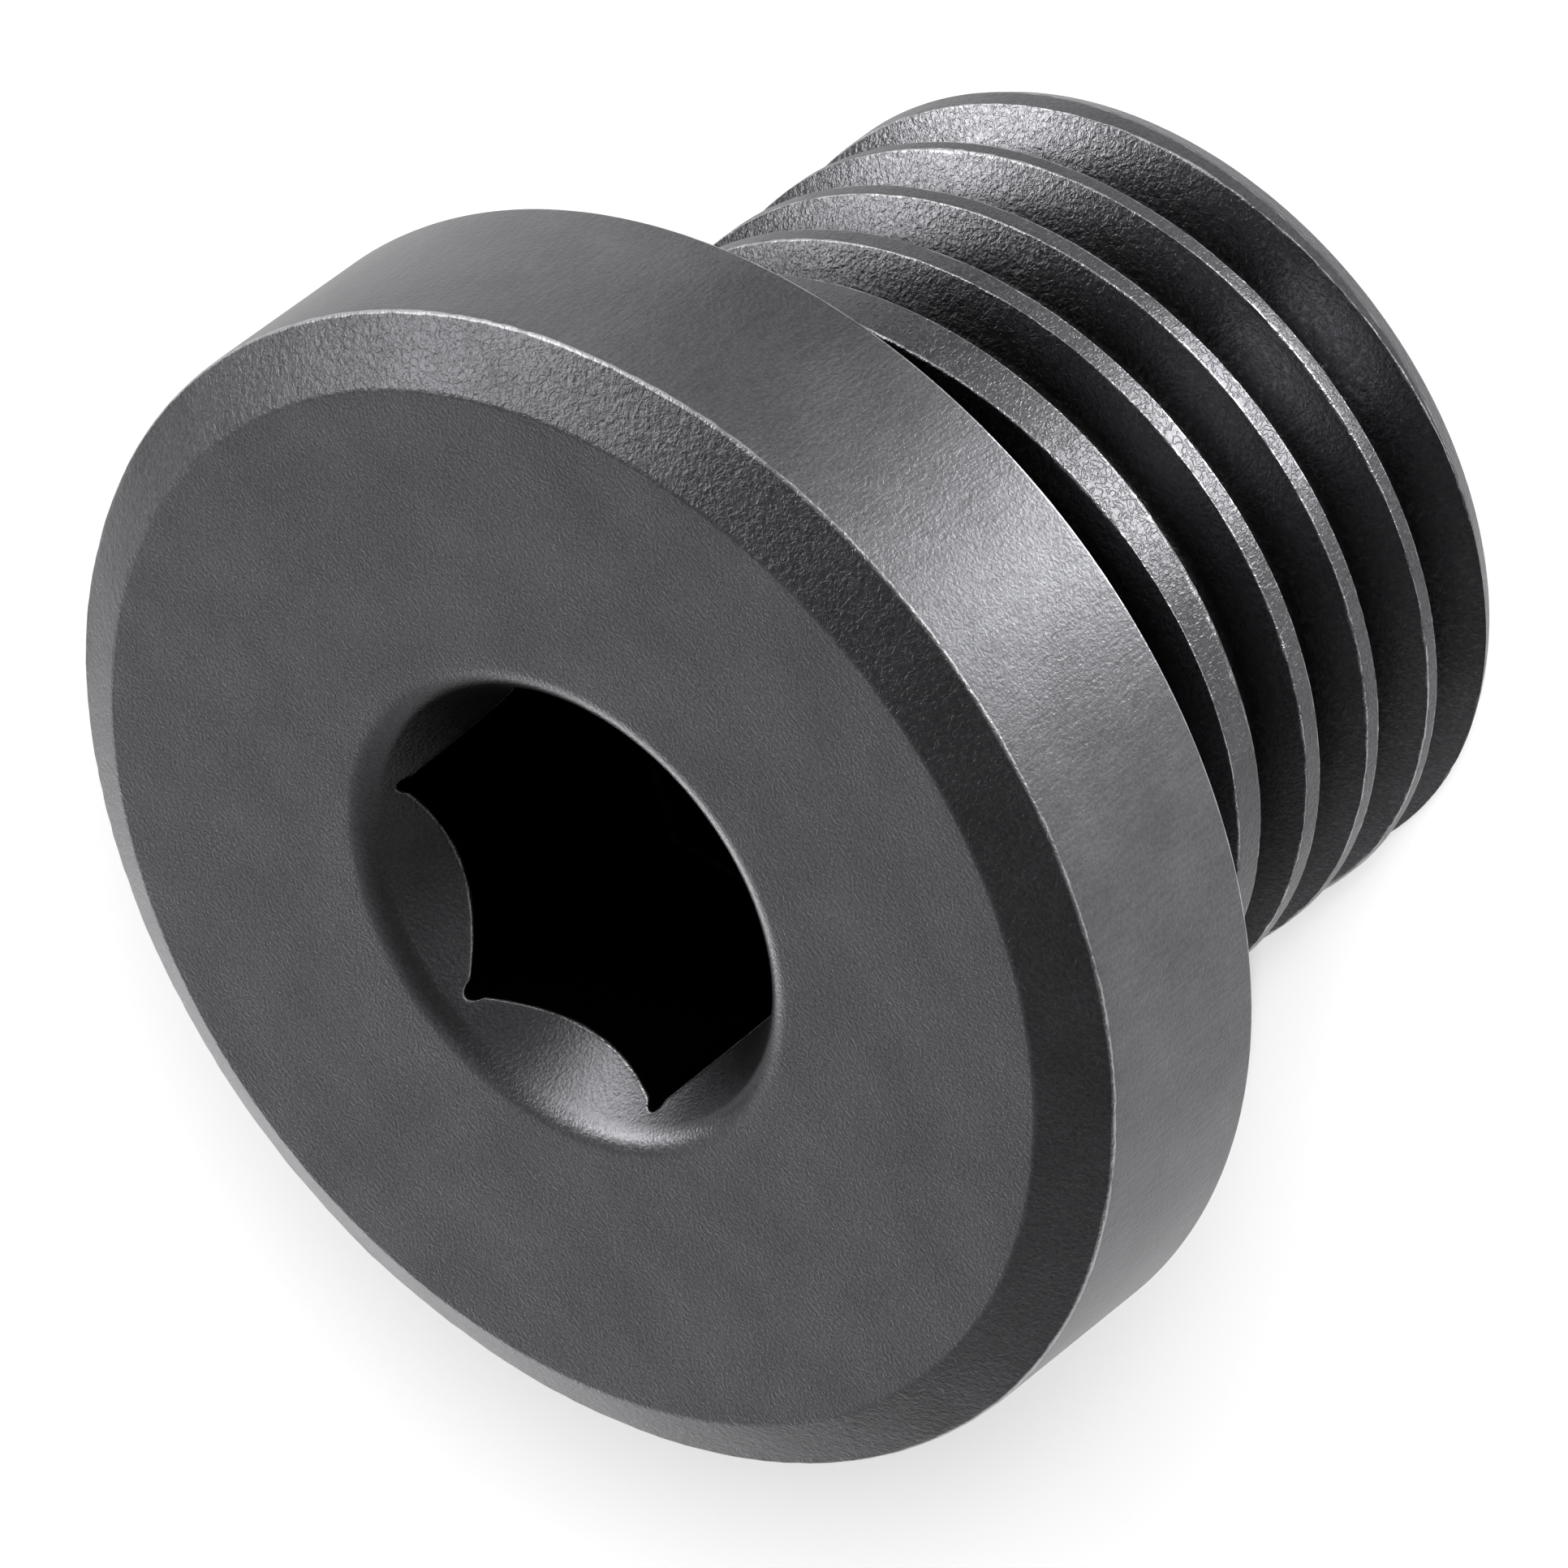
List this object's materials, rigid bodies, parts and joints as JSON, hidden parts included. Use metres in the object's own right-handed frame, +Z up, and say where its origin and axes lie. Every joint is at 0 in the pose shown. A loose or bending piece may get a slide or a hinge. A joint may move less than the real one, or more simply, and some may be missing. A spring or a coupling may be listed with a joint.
{
  "type": "oil drain plug",
  "caption": "Right-hand threaded steel screw plug with a flat chamfered collar and a countersunk hexagon socket, made in one piece to close an oil drain.",
  "frame": {"origin": "middle of the flat end face of the thread, on which the plug stands", "axes": "+Z up the plug's axis from the thread's end to the collar's outer face; two corners of the hexagon socket lie on the Y axis"},
  "size_m": [0.0316, 0.0316, 0.024],
  "materials": {
    "phosphated_steel": "dark grey phosphate on turned steel, satin, with bare worn lines along its edges"
  },
  "bodies": {
    "root": {"drain_plug": "phosphated_steel"}
  },
  "joints": []
}
